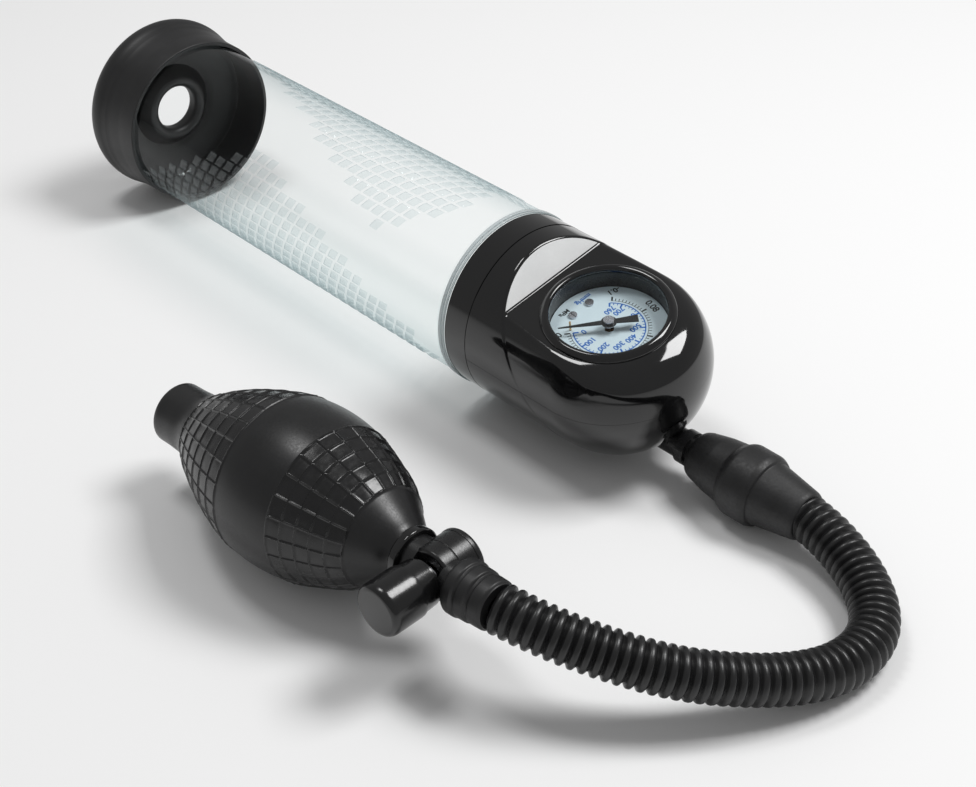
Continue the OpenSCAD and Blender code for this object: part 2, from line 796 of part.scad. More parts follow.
clear_tube();
tube_seal();
end_sleeve();
head_collar();
bulkhead();
lower_shell();
upper_shell();
accent_plate();
gauge_bezel();
gauge_lens();
gauge_case();
dial_plate();
dial_screws();
stop_pin();
movement_plates();
hairspring();
bourdon_tube();
gauge_socket();
socket_nut();
pointer_needle();
pointer_hub();
pinion_arbor();
sector_gear();
air_manifold();
hose_nipple();
nipple_seal();
hose_connector();
air_hose();
hose_cuff();
valve_body();
valve_end_cap();
release_knob();
release_stem();
poppet_seal();
knob_spring();
inlet_disc();
inlet_retainer();
bulb_collar();
squeeze_bulb();
exhaust_insert();
exhaust_disc();
exhaust_retainer();
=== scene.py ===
"""Looks for the hand vacuum pump: finer shells, hose, bulb, dial print and every material."""

import json
import math

import bmesh
import bpy
from mathutils import Matrix, Vector, noise


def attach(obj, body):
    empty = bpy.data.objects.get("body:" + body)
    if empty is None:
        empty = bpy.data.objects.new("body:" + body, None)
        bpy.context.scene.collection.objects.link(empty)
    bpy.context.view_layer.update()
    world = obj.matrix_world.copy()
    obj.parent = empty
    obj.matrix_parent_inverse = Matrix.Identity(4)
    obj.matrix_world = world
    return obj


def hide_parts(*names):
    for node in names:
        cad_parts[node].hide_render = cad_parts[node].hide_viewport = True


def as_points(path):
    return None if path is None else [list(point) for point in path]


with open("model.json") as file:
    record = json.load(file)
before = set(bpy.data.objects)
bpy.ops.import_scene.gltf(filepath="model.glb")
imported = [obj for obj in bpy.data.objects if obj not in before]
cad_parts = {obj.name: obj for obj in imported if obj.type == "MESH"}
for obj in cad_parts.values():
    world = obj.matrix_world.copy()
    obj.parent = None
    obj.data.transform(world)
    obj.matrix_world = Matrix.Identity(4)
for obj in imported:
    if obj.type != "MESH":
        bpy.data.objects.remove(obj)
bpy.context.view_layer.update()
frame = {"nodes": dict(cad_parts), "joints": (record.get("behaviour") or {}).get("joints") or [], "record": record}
nodes = frame["nodes"]
joints = {joint["name"]: joint for joint in frame["joints"]}
MM = 0.001

# ---- The object's own frames, lengths in millimetres ----


def turn(degrees, axis):
    return Matrix.Rotation(math.radians(degrees), 4, axis)


def at(x, y, z):
    return Matrix.Translation((x, y, z))


HEAD_LEAN = 12
FACE_SLOPE = 4.8
STEP_LEAN = 31.5
BULB_YAW = 3
BULB_RISE = 2.5
BULB_MIDDLE = Vector((82.7, -59.9, 27.5))
VALVE_ALONG = 57
NIPPLE_Z = -23.4
SEAM = Vector((52, 52, 35.4))
TUBE = at(*SEAM)
HEAD = TUBE @ turn(HEAD_LEAN, "X")
GAUGE = at(*(Vector(joints["needle_turn"]["pos_m"]) / MM)) @ turn(HEAD_LEAN, "X") @ turn(FACE_SLOPE, "Y")
BULB = at(*BULB_MIDDLE) @ turn(BULB_YAW, "Z") @ turn(-BULB_RISE, "Y")
VALVE = BULB @ at(VALVE_ALONG, 0, 0) @ turn(90, "Z")
NIPPLE = HEAD @ at(0, 0, NIPPLE_Z)

# ---- Camera ----

CAMERA_PLACE = Vector((425.4, -302.5, 359.6))
CAMERA_TARGET = Vector((54.4, 41.3, 0))
LENS_LENGTH = 64.6
SENSOR_WIDTH = 36


def aim(obj, place, target):
    """Sets a camera or light down at a place, looking at a target, both in metres."""
    obj.location = place
    obj.rotation_euler = (Vector(target) - Vector(place)).to_track_quat("-Z", "Y").to_euler()


def make_camera():
    data = bpy.data.cameras.new("camera")
    data.lens = LENS_LENGTH
    data.sensor_width = SENSOR_WIDTH
    camera = bpy.data.objects.new("camera", data)
    bpy.context.scene.collection.objects.link(camera)
    aim(camera, CAMERA_PLACE * MM, CAMERA_TARGET * MM)
    bpy.context.scene.camera = camera


make_camera()

# ---- Mesh helpers ----


def link_mesh(name, verts, faces, material, smooth_angle=40):
    """A mesh object of one material, its points in millimetres."""
    mesh = bpy.data.meshes.new(name)
    mesh.from_pydata([tuple(Vector(v) * MM) for v in verts], [], faces)
    mesh.shade_smooth()
    mesh.set_sharp_from_angle(angle=math.radians(smooth_angle))
    mesh.materials.append(material)
    obj = bpy.data.objects.new(name, mesh)
    bpy.context.scene.collection.objects.link(obj)
    return obj


def finish_piece(obj, body, replaced=()):
    """The piece rides a body and may stand in for CAD nodes."""
    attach(obj, body)
    if replaced:
        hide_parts(*replaced)
    return obj


def grid_faces(rows, columns, close_rows=False, close_columns=True):
    """Four-sided faces over points laid out in rows and columns."""
    faces = []
    for i in range(rows if close_rows else rows - 1):
        for j in range(columns if close_columns else columns - 1):
            a = (i % rows) * columns + j
            b = (i % rows) * columns + (j + 1) % columns
            c = ((i + 1) % rows) * columns + (j + 1) % columns
            d = ((i + 1) % rows) * columns + j
            faces.append((a, b, c, d))
    return faces


def arc(centre, radius, start, end, count):
    """Points (x, r) of an arc, its angles in degrees."""
    points = []
    for i in range(count):
        a = math.radians(start + (end - start) * i / (count - 1))
        points.append((centre[0] + radius * math.cos(a), centre[1] + radius * math.sin(a)))
    return points


FILLET_STEPS = 5
FILLET_SHARE = 0.45
LATHE_SIDES = 128
TINY = 1e-6


def fillet(outline):
    """A closed outline of (x, r, rounding) corners becomes points with each corner rounded."""
    points = []
    count = len(outline)
    for i, (x, r, rounding) in enumerate(outline):
        here = Vector((x, r))
        back = Vector(outline[i - 1][:2]) - here
        ahead = Vector(outline[(i + 1) % count][:2]) - here
        if rounding <= 0 or back.length < TINY or ahead.length < TINY:
            points.append((x, r))
            continue
        reach = min(rounding, back.length * FILLET_SHARE, ahead.length * FILLET_SHARE)
        start = here + back.normalized() * reach
        end = here + ahead.normalized() * reach
        for k in range(FILLET_STEPS + 1):
            t = k / FILLET_STEPS
            p = (1 - t) ** 2 * start + 2 * t * (1 - t) * here + t**2 * end
            points.append((p.x, p.y))
    return points


def even_turn(count):
    """Even angles round a full turn."""
    return [2 * math.pi * j / count for j in range(count)]


def lathe(name, outline, place, material, angles=None, bump=None):
    """Turns a closed outline of (x, r) about the X axis of a frame, raised by a bump if there is one."""
    angles = angles or even_turn(LATHE_SIDES)
    verts = []
    for x, r in outline:
        for a in angles:
            raised = r + (bump(x, r, a) if bump else 0)
            verts.append(place @ Vector((x, raised * math.cos(a), raised * math.sin(a))))
    faces = grid_faces(len(outline), len(angles), close_rows=True)
    return link_mesh(name, verts, faces, material)


def join(name, pieces):
    """Several pieces of one material become one."""
    mesh = bmesh.new()
    for piece in pieces:
        mesh.from_mesh(piece.data)
    joined = pieces[0]
    mesh.to_mesh(joined.data)
    mesh.free()
    joined.name = name
    for piece in pieces[1:]:
        bpy.data.objects.remove(piece)
    return joined


def spot(x, y, lean=0.0):
    """A place on a flat face, turned by some degrees."""
    return at(x, y, 0) @ turn(lean, "Z")


# ---- Materials ----

NOISE_ROUGHNESS = 0.55
NOISE_LOW = 0.3
NOISE_HIGH = 0.7
BUMP_STRENGTH = 0.6
COAT_ROUGHNESS = 0.04
TINT_BLEND = 0.35
TINT_START = 0.35
TINT_END = 0.95
SHINE_BLEND = 0.5
SHINE_POWER = 4
SHINE_LEAST = 0.012
FROST_WHITE = (0.86, 0.91, 0.92, 1)


def new_material(name):
    """A material, its node tree and its main shader."""
    material = bpy.data.materials.new(name)
    material.use_nodes = True
    tree = material.node_tree
    shader = tree.nodes["Principled BSDF"]
    return material, tree, shader


def add_noise(tree, size_mm, detail):
    coords = tree.nodes.new("ShaderNodeTexCoord")
    texture = tree.nodes.new("ShaderNodeTexNoise")
    texture.inputs["Scale"].default_value = 1 / (size_mm * MM)
    texture.inputs["Detail"].default_value = detail
    texture.inputs["Roughness"].default_value = NOISE_ROUGHNESS
    tree.links.new(coords.outputs["Object"], texture.inputs["Vector"])
    return texture


def add_ramp(tree, low, high, start, end):
    """A colour ramp from one colour to another."""
    ramp = tree.nodes.new("ShaderNodeValToRGB")
    for element, position, colour in zip(ramp.color_ramp.elements, (start, end), (low, high)):
        element.position = position
        element.color = (*colour, 1)
    return ramp


def add_range(tree, source, low, high):
    span = tree.nodes.new("ShaderNodeMapRange")
    span.inputs["From Min"].default_value = NOISE_LOW
    span.inputs["From Max"].default_value = NOISE_HIGH
    span.inputs["To Min"].default_value = low
    span.inputs["To Max"].default_value = high
    tree.links.new(source.outputs["Fac"], span.inputs["Value"])
    return span


def add_bump(tree, shader, source, distance_mm):
    bump = tree.nodes.new("ShaderNodeBump")
    bump.inputs["Strength"].default_value = BUMP_STRENGTH
    bump.inputs["Distance"].default_value = distance_mm * MM
    tree.links.new(source.outputs["Fac"], bump.inputs["Height"])
    tree.links.new(bump.outputs["Normal"], shader.inputs["Normal"])


def surface(name, low, high, rough, patch_mm, grain_mm, grain_depth, metallic=0.0, coat=0.0):
    """A surface whose colour drifts over patch_mm and whose roughness and bump follow a grain."""
    material, tree, shader = new_material(name)
    drift = add_noise(tree, patch_mm, detail=3)
    grain = add_noise(tree, grain_mm, detail=6)
    colour = add_ramp(tree, low, high, NOISE_LOW, NOISE_HIGH)
    tree.links.new(drift.outputs["Fac"], colour.inputs["Fac"])
    tree.links.new(colour.outputs["Color"], shader.inputs["Base Color"])
    span = add_range(tree, grain, rough[0], rough[1])
    tree.links.new(span.outputs["Result"], shader.inputs["Roughness"])
    if grain_depth > 0:
        add_bump(tree, shader, grain, grain_depth)
    shader.inputs["Metallic"].default_value = metallic
    shader.inputs["Coat Weight"].default_value = coat
    shader.inputs["Coat Roughness"].default_value = COAT_ROUGHNESS
    return material


def clear_material(name, tint, edge_tint, gloss, rough, frost=0.0):
    """Clear plastic: see-through face on, tinted towards the edge, with more gloss there."""
    material, tree, shader = new_material(name)
    tree.nodes.remove(shader)
    out = tree.nodes["Material Output"]
    facing = tree.nodes.new("ShaderNodeLayerWeight")
    facing.inputs["Blend"].default_value = TINT_BLEND
    ramp = add_ramp(tree, tint, edge_tint, TINT_START, TINT_END)
    tree.links.new(facing.outputs["Facing"], ramp.inputs["Fac"])
    through = tree.nodes.new("ShaderNodeBsdfTransparent")
    tree.links.new(ramp.outputs["Color"], through.inputs["Color"])
    if frost:
        haze = tree.nodes.new("ShaderNodeBsdfDiffuse")
        haze.inputs["Color"].default_value = FROST_WHITE
        veil = tree.nodes.new("ShaderNodeMixShader")
        veil.inputs["Fac"].default_value = frost
        tree.links.new(through.outputs["BSDF"], veil.inputs[1])
        tree.links.new(haze.outputs["BSDF"], veil.inputs[2])
        through = veil
    shine = tree.nodes.new("ShaderNodeBsdfGlossy")
    shine.inputs["Roughness"].default_value = rough
    grazing = tree.nodes.new("ShaderNodeLayerWeight")
    grazing.inputs["Blend"].default_value = SHINE_BLEND
    power = tree.nodes.new("ShaderNodeMath")
    power.operation = "POWER"
    power.inputs[1].default_value = SHINE_POWER
    tree.links.new(grazing.outputs["Facing"], power.inputs[0])
    amount = tree.nodes.new("ShaderNodeMath")
    amount.operation = "MULTIPLY_ADD"
    amount.inputs[1].default_value = gloss
    amount.inputs[2].default_value = SHINE_LEAST
    tree.links.new(power.outputs[0], amount.inputs[0])
    mix = tree.nodes.new("ShaderNodeMixShader")
    tree.links.new(amount.outputs[0], mix.inputs["Fac"])
    tree.links.new(through.outputs[0], mix.inputs[1])
    tree.links.new(shine.outputs["BSDF"], mix.inputs[2])
    tree.links.new(mix.outputs["Shader"], out.inputs["Surface"])
    return material


def cool(level):
    """A very slightly blue grey."""
    return level, level, level * 1.06


KNOB_BLACK = surface("knob_black", cool(0.004), cool(0.008), (0.16, 0.24), 12, 0.8, 0.003, coat=0.15)
GLOSS_BLACK = surface("gloss_black", cool(0.004), cool(0.006), (0.05, 0.09), 30, 0.8, 0.0015, coat=0.3)
SATIN_BLACK = surface("satin_black", cool(0.005), cool(0.010), (0.24, 0.36), 14, 0.5, 0.01)
RUBBER = surface("rubber_black", cool(0.006), cool(0.012), (0.38, 0.52), 12, 0.35, 0.015)
BULB_RUBBER = surface("bulb_rubber", cool(0.005), cool(0.011), (0.28, 0.42), 16, 0.6, 0.012)
CELL_RUBBER = surface("bulb_cells", cool(0.004), cool(0.010), (0.16, 0.30), 8, 2.2, 0.05)
GRAINED_RUBBER = surface("grained_rubber", cool(0.006), cool(0.014), (0.40, 0.60), 6, 0.9, 0.09)
HOSE_RUBBER = surface("hose_rubber", cool(0.005), cool(0.011), (0.28, 0.42), 9, 0.4, 0.02)
SILVER = surface("silver_plate", (0.86, 0.87, 0.87), (0.92, 0.93, 0.93), (0.34, 0.42), 8, 0.12, 0.002)
STEEL = surface("steel", cool(0.55), cool(0.68), (0.18, 0.32), 1.2, 0.15, 0.002, metallic=1.0)
BRASS = surface("brass", (0.62, 0.40, 0.20), (0.74, 0.50, 0.28), (0.22, 0.36), 2, 0.2, 0.002, metallic=1.0)
DIAL_WHITE = surface("dial_white", (0.62, 0.73, 0.79), (0.66, 0.77, 0.82), (0.35, 0.45), 9, 0.3, 0.001)
NEEDLE_BLACK = surface("needle_black", cool(0.006), cool(0.012), (0.3, 0.4), 4, 0.2, 0.001)
VALVE_RUBBER = surface("valve_rubber", (0.30, 0.07, 0.04), (0.40, 0.10, 0.06), (0.4, 0.5), 2, 0.3, 0.003)
PRINT_BLUE = surface("print_blue", (0.01, 0.12, 0.46), (0.015, 0.15, 0.52), (0.4, 0.5), 2, 0.3, 0)
PRINT_BLACK = surface("print_black", cool(0.006), cool(0.012), (0.4, 0.5), 2, 0.3, 0)
CLEAR = clear_material("clear_plastic", (0.985, 0.998, 0.996), (0.80, 0.87, 0.88), 0.45, 0.01)
CLEAR_CELL = clear_material("clear_cell", (0.90, 0.935, 0.94), (0.45, 0.55, 0.58), 0.35, 0.05, frost=0.07)
CLEAR_LIP = clear_material("clear_lip", (0.60, 0.64, 0.65), (0.20, 0.23, 0.24), 0.8, 0.06, frost=0.45)
LENS = clear_material("lens_clear", (0.99, 1.0, 1.0), (0.9, 0.94, 0.95), 0.2, 0.01)

SLOT_MATERIALS = {
    "clear_plastic": CLEAR, "soft_black": RUBBER, "gloss_black": GLOSS_BLACK, "satin_black": SATIN_BLACK,
    "silver_plate": SILVER, "lens_clear": LENS, "dial_white": DIAL_WHITE, "needle_black": NEEDLE_BLACK,
    "steel": STEEL, "brass_parts": BRASS, "valve_rubber": VALVE_RUBBER,
}


def dress_nodes():
    """Gives every CAD node the finish of its slot."""
    for part in frame["record"]["subparts"]:
        mesh = nodes[part["node"]].data
        mesh.materials.clear()
        mesh.materials.append(SLOT_MATERIALS[part["material_slot"]])


dress_nodes()

# ---- Corrugated hose ----

HOSE_ROUTE = [
    (183.8, 56.9, 12.5), (193, 55.5, 11.8), (203.2, 52.8, 10.4), (212.6, 48.5, 9.1),
    (220.7, 42.4, 8.2), (226.6, 34.2, 7.8), (229.2, 24.2, 7.8), (228.6, 13.8, 8.4),
    (225.8, 4, 9.8), (221.6, -5, 11.6), (216.8, -13.2, 13.7), (211.5, -20.9, 15.9),
    (205.8, -27.8, 18.2), (199.6, -33.9, 20.5), (193, -39.3, 22.8), (186.2, -44.2, 25),
    (179, -49, 27.5), (171.4, -52.9, 29.6), (163, -55.7, 31),
]
HOSE_RADIUS = 7.65
HOSE_PITCH = 3.25
HOSE_GROOVE = 1.35
RIDGE_SHARPNESS = 2.2
SAMPLES_PER_RIDGE = 10
LINE_STEPS = 12
HOSE_SIDES = 40


def smooth_line(points, steps):
    """Catmull-Rom points through a list of points."""
    points = [Vector(p) for p in points]
    line = []
    for i in range(len(points) - 1):
        a = points[max(i - 1, 0)]
        b, c = points[i], points[i + 1]
        d = points[min(i + 2, len(points) - 1)]
        for k in range(steps):
            t = k / steps
            line.append(0.5 * (2 * b + (c - a) * t + (2 * a - 5 * b + 4 * c - d) * t**2
                               + (3 * b - a - 3 * c + d) * t**3))
    line.append(points[-1])
    return line


def resample(line, spacing):
    """Points about one spacing apart along a line, and its length."""
    lengths = [0.0]
    for a, b in zip(line, line[1:]):
        lengths.append(lengths[-1] + (b - a).length)
    total = lengths[-1]
    count = max(2, round(total / spacing))
    result, k = [], 0
    for i in range(count + 1):
        want = total * i / count
        while k < len(line) - 2 and lengths[k + 1] < want:
            k += 1
        t = (want - lengths[k]) / (lengths[k + 1] - lengths[k])
        result.append(line[k].lerp(line[k + 1], t))
    return result, total


def hose_ridge(along):
    """Radius of the corrugations, with round-topped ridges and narrow grooves."""
    wave = 0.5 + 0.5 * math.cos(2 * math.pi * along / HOSE_PITCH)
    ridge = 1 - (1 - wave) ** RIDGE_SHARPNESS
    return HOSE_RADIUS - HOSE_GROOVE * (1 - ridge)


def make_hose():
    line, total = resample(smooth_line(HOSE_ROUTE, LINE_STEPS), HOSE_PITCH / SAMPLES_PER_RIDGE)
    verts, faces = [], []
    for i, p in enumerate(line):
        ahead = line[min(i + 1, len(line) - 1)] - line[max(i - 1, 0)]
        ahead.normalize()
        side = ahead.cross(Vector((0, 0, 1))).normalized()
        up = side.cross(ahead)
        radius = hose_ridge(total * i / (len(line) - 1))
        for a in even_turn(HOSE_SIDES):
            verts.append(p + radius * (side * math.cos(a) + up * math.sin(a)))
    faces = grid_faces(len(line), HOSE_SIDES)
    faces.append(tuple(range(HOSE_SIDES)))
    faces.append(tuple(reversed(range((len(line) - 1) * HOSE_SIDES, len(line) * HOSE_SIDES))))
    hose = link_mesh("corrugated_hose", verts, faces, HOSE_RUBBER, smooth_angle=60)
    finish_piece(hose, "pump", ["air_hose"])
    return hose, [p * MM for p in line[::SAMPLES_PER_RIDGE]] + [line[-1] * MM], total * MM


hose, hose_path, hose_length = make_hose()

# ---- Hose end fittings ----

CONNECTOR_X = 86.9
CONNECTOR_END = 131.8
FLANGE_RADIUS = 12.5
BARB_END = 98
BARB_BORE = 5.15


def make_connector():
    outline = fillet([
        (CONNECTOR_X, BARB_BORE, 0.3), (CONNECTOR_X, 7.6, 0.7), (88.6, 8.4, 1.0), (96, 10.05, 0.5),
        (102.6, 10.85, 0.8), (103.6, 11.6, 0.8), (105.2, FLANGE_RADIUS, 1.2), (113.8, FLANGE_RADIUS, 1.6),
        (115.6, 11.6, 0.5), (115.9, 10.9, 0.3), (117.2, 10.7, 0.4), (130.6, 8.5, 0.7),
        (CONNECTOR_END, 7.8, 0.5), (CONNECTOR_END, 3, 0), (BARB_END, 3, 0), (BARB_END, BARB_BORE, 0)])
    connector = lathe("connector_sleeve", outline, NIPPLE, GRAINED_RUBBER)
    return finish_piece(connector, "pump", ["hose_connector"])


def make_cuff():
    outline = fillet([
        (66, 4.1, 0), (66, 8.3, 0.6), (66.8, 8.8, 0.5), (69.6, 8.8, 0.5), (70.1, 8.2, 0.2), (70.9, 8.2, 0.3),
        (71.2, 8.35, 0.2), (74.2, 8.25, 0.4), (74.7, 7.5, 0.2), (75.6, 7.5, 0.2), (76, 7.9, 0.3),
        (79.6, 7.8, 0.5), (80.2, 7.1, 0.3), (80.5, 7.0, 0), (80.5, 4.1, 0)])
    cuff = lathe("stepped_cuff", outline, BULB, RUBBER)
    return finish_piece(cuff, "pump", ["hose_cuff"])


connector = make_connector()
cuff = make_cuff()
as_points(hose_path)

# ---- Head ----

HEAD_RADIUS = 31.5
DOME_X = 53.5
SHELL_START = 13.75
STEP_FOOT = Vector((27.4, 0, 21.5))
PARTING_Z = 1.0
FACE_NORMAL = Vector((math.sin(math.radians(FACE_SLOPE)), 0, math.cos(math.radians(FACE_SLOPE))))
STEP_NORMAL = Vector((math.cos(math.radians(STEP_LEAN)), 0, math.sin(math.radians(STEP_LEAN))))
STEP_BACK = 0.12
STEP_ROUND = 0.7
FOOT_ROUND = 0.6
EDGE_ROUND = 1.2
DOME_ROUND = 7.2
ROUND_FROM = 50
ROUND_OVER = 26
SHELL_GAP = 0.06
SHELL_EDGE = 2.0
SHELL_COLUMNS = 221
SHELL_ROWS = 120
DOME_ROWS = 90
SEARCH_FROM = 5.0
SEARCH_STEPS = 20
BEZEL_COVER = 21.3
BEZEL_DEPTH = -4
HEAD_TO_GAUGE = GAUGE.inverted() @ HEAD


def soft_max(a, b, soft):
    """The larger of two values, blended where they are nearly equal."""
    h = max(soft - abs(a - b), 0.0) / soft
    return max(a, b) + h * h * soft * 0.25


def soft_min(a, b, soft):
    return -soft_max(-a, -b, soft)


def head_field(p):
    """Below zero inside the head: a capsule with the gauge face and the step cut in it."""
    along = max(p.x - DOME_X, 0.0)
    capsule = math.sqrt(along**2 + p.y**2 + p.z**2) - HEAD_RADIUS
    face = (p - STEP_FOOT).dot(FACE_NORMAL)
    step = (p - STEP_FOOT).dot(STEP_NORMAL) + STEP_BACK
    towards_dome = min(max((p.x - ROUND_FROM) / ROUND_OVER, 0.0), 1.0)
    rounded_face = soft_max(capsule, face, EDGE_ROUND + (DOME_ROUND - EDGE_ROUND) * towards_dome)
    rounded_step = soft_max(capsule, step, STEP_ROUND)
    return soft_min(rounded_face, rounded_step, FOOT_ROUND)


def head_point(start, direction):
    """The first point of the head's skin out along a direction from inside."""
    near, far = SEARCH_FROM, HEAD_RADIUS + 1
    for _ in range(SEARCH_STEPS):
        middle = (near + far) / 2
        if head_field(start + direction * middle) > 0:
            far = middle
        else:
            near = middle
    return start + direction * near


def shell_angles(side):
    """Angles round the axis from one parting edge to the other, over or under."""
    tuck = math.asin((PARTING_Z + SHELL_GAP * side) / HEAD_RADIUS)
    start, end = (tuck, math.pi - tuck) if side > 0 else (math.pi - tuck, 2 * math.pi + tuck)
    return [start + (end - start) * j / (SHELL_COLUMNS - 1) for j in range(SHELL_COLUMNS)]


def shell_rows():
    """Origin and lean of each row of the skin: along the cylinder, then round the dome."""
    length = DOME_X - SHELL_START
    rows = [(SHELL_START + length * i / SHELL_ROWS, 0.0) for i in range(SHELL_ROWS + 1)]
    rows += [(DOME_X, math.radians(90 * i / DOME_ROWS)) for i in range(1, DOME_ROWS)]
    rows.append((DOME_X, math.radians(89.9)))
    return rows


def under_bezel(p):
    across = HEAD_TO_GAUGE @ p
    return math.hypot(across.x, across.y) < BEZEL_COVER and across.z > BEZEL_DEPTH


def make_shell(side, name):
    """One glossy half of the head, its edges turned in where it meets the other."""
    rows = shell_rows()
    verts = []
    for x, lean in rows:
        origin = Vector((x, 0, 0))
        for a in shell_angles(side):
            direction = Vector((math.sin(lean), math.cos(lean) * math.cos(a), math.cos(lean) * math.sin(a)))
            verts.append(head_point(origin, direction))
    faces = [f for f in grid_faces(len(rows), SHELL_COLUMNS, close_columns=False)
             if not under_bezel(sum((verts[k] for k in f), Vector()) / 4)]
    edges = [[i * SHELL_COLUMNS + j for i in range(len(rows))] for j in (0, SHELL_COLUMNS - 1)]
    edges.append(list(range(SHELL_COLUMNS)))
    for edge in edges:
        first = len(verts)
        for k in edge:
            x = rows[k // SHELL_COLUMNS][0]
            verts.append(verts[k] + (Vector((x, 0, 0)) - verts[k]).normalized() * SHELL_EDGE)
        faces += [(edge[i], edge[i + 1], first + i + 1, first + i) for i in range(len(edge) - 1)]
    return link_mesh(name, [HEAD @ v for v in verts], faces, GLOSS_BLACK, smooth_angle=50)


def make_bezel():
    """A glossy ring with a rounded crest round the lens."""
    crest = fillet([(-0.8, 20.35, 0), (-0.8, 22.4, 0), (0.3, 22.4, 0.4), (1.3, 21.7, 0.6), (1.95, 20.6, 0.7),
                    (1.7, 19.5, 0.5), (0.9, 19.1, 0.4), (0.2, 19.1, 0), (0.2, 20.35, 0)])
    return lathe("bezel_ring", crest, GAUGE @ turn(-90, "Y"), GLOSS_BLACK, even_turn(200))


finish_piece(make_shell(1, "head_upper"), "pump", ["upper_shell"])
finish_piece(make_shell(-1, "head_lower"), "pump", ["lower_shell"])
finish_piece(make_bezel(), "pump", ["gauge_bezel"])

# ---- Printed dial ----

DIAL_W = -7.0
SCALE_START = -129
SCALE_SWEEP = 262
FULL_MMHG = 760
FULL_MPA = 0.1
MMHG_PER_MPA = 7500.6
INK_HEIGHT = 0.03
LETTER_BOLD = 0.028
ARC_STEPS = 90
MAJOR_WIDTH = 0.6
BLUE_RING = (11.6, 12.0)
BLUE_TICKS = 11.8
BLUE_MAJOR = 10.0
BLUE_MINOR = 10.9
BLUE_MINOR_WIDTH = 0.28
BLUE_NUMBERS = 8.4
BLACK_RING = (12.7, 12.85)
BLACK_TICKS = 12.75
BLACK_MAJOR = 14.7
BLACK_MINOR = 13.9
BLACK_MINOR_WIDTH = 0.26
BLACK_NUMBERS = 17.0
BLACK_DIVISIONS = 50


class Print:
    """Flat ink on the dial, gathered into one thin mesh."""

    def __init__(self):
        self.verts = []
        self.faces = []

    def add(self, points, faces):
        """More ink, its faces counted from its own first point."""
        first = len(self.verts)
        self.verts += points
        self.faces += [tuple(first + k for k in f) for f in faces]

    def band(self, inner, outer, start, end, steps):
        """Part of a ring between two angles in degrees."""
        points = []
        for i in range(steps + 1):
            a = math.radians(start + (end - start) * i / steps)
            points += [(inner * math.cos(a), inner * math.sin(a)), (outer * math.cos(a), outer * math.sin(a))]
        self.add(points, [(2 * i, 2 * i + 1, 2 * i + 3, 2 * i + 2) for i in range(steps)])

    def tick(self, inner, outer, degrees, width):
        """A short mark across the ring at one angle."""
        half = math.degrees(width / (inner + outer))
        self.band(inner, outer, degrees - half, degrees + half, 1)

    def words(self, body, size, place):
        """Letters as a mesh, set on the dial by a placing matrix."""
        curve = bpy.data.curves.new("letters", "FONT")
        curve.body = body
        curve.size = size
        curve.align_x = "CENTER"
        curve.align_y = "CENTER"
        curve.offset = size * LETTER_BOLD
        curve.resolution_u = 4
        holder = bpy.data.objects.new("letters", curve)
        bpy.context.scene.collection.objects.link(holder)
        bpy.context.view_layer.update()
        mesh = bpy.data.meshes.new_from_object(holder.evaluated_get(bpy.context.evaluated_depsgraph_get()))
        points = [place @ v.co for v in mesh.vertices]
        self.add([(p.x, p.y) for p in points], [tuple(f.vertices) for f in mesh.polygons])
        bpy.data.objects.remove(holder)
        bpy.data.meshes.remove(mesh)

    def finish(self, name, material):
        """All the ink so far, laid on the dial."""
        ink = [GAUGE @ Vector((u, y, DIAL_W + INK_HEIGHT)) for u, y in self.verts]
        finish_piece(link_mesh(name, ink, self.faces, material), "pump")


def scale_angle(mmhg):
    """Where the needle points at a vacuum, in degrees."""
    return SCALE_START + SCALE_SWEEP * mmhg / FULL_MMHG


def upright(u, y):
    """Letters whose tops face the dome."""
    return spot(u, y, -90)


def on_circle(radius, degrees):
    return radius * math.cos(math.radians(degrees)), radius * math.sin(math.radians(degrees))


def print_mmhg(blue):
    blue.band(*BLUE_RING, scale_angle(0), scale_angle(FULL_MMHG), ARC_STEPS)
    for mmhg in range(0, FULL_MMHG + 1, 20):
        if mmhg % 100 == 0 or mmhg == FULL_MMHG:
            blue.tick(BLUE_MAJOR, BLUE_TICKS, scale_angle(mmhg), MAJOR_WIDTH)
            blue.words(str(mmhg), 2.8, upright(*on_circle(BLUE_NUMBERS, scale_angle(mmhg))))
        else:
            blue.tick(BLUE_MINOR, BLUE_TICKS, scale_angle(mmhg), BLUE_MINOR_WIDTH)
    blue.words("mmHg", 2.4, upright(-15.9, 4.3))


def print_mpa(black):
    full = FULL_MPA * MMHG_PER_MPA
    black.band(*BLACK_RING, scale_angle(0), scale_angle(full), ARC_STEPS)
    for step in range(BLACK_DIVISIONS + 1):
        degrees = scale_angle(full * step / BLACK_DIVISIONS)
        if step % 10:
            black.tick(BLACK_TICKS, BLACK_MINOR, degrees, BLACK_MINOR_WIDTH)
            continue
        black.tick(BLACK_TICKS, BLACK_MAJOR, degrees, MAJOR_WIDTH)
        if 0 < step < BLACK_DIVISIONS:
            number = "%.2f" % (FULL_MPA * step / BLACK_DIVISIONS)
            black.words(number, 3.3, spot(*on_circle(BLACK_NUMBERS, degrees), degrees - 90))
    black.words("0", 3.2, upright(*on_circle(16.6, scale_angle(0))))
    black.words("-0.1", 3.0, spot(-11.0, 13.7, -105))
    black.words("MPa", 2.4, upright(-16.1, -4.5))


def print_dial():
    blue, black = Print(), Print()
    print_mmhg(blue)
    print_mpa(black)
    blue.finish("dial_print_blue", PRINT_BLUE)
    black.finish("dial_print_black", PRINT_BLACK)


print_dial()

# ---- End sleeve ----

SKIRT_X = -181.7
SLEEVE_BORE = 31.9
SLEEVE_STOP = -200.3
RIM_ROUND = 8
HOLE_EDGE_R = 11.8
HOLE_ROUND = 2.8
TUBE_SIDES = 160


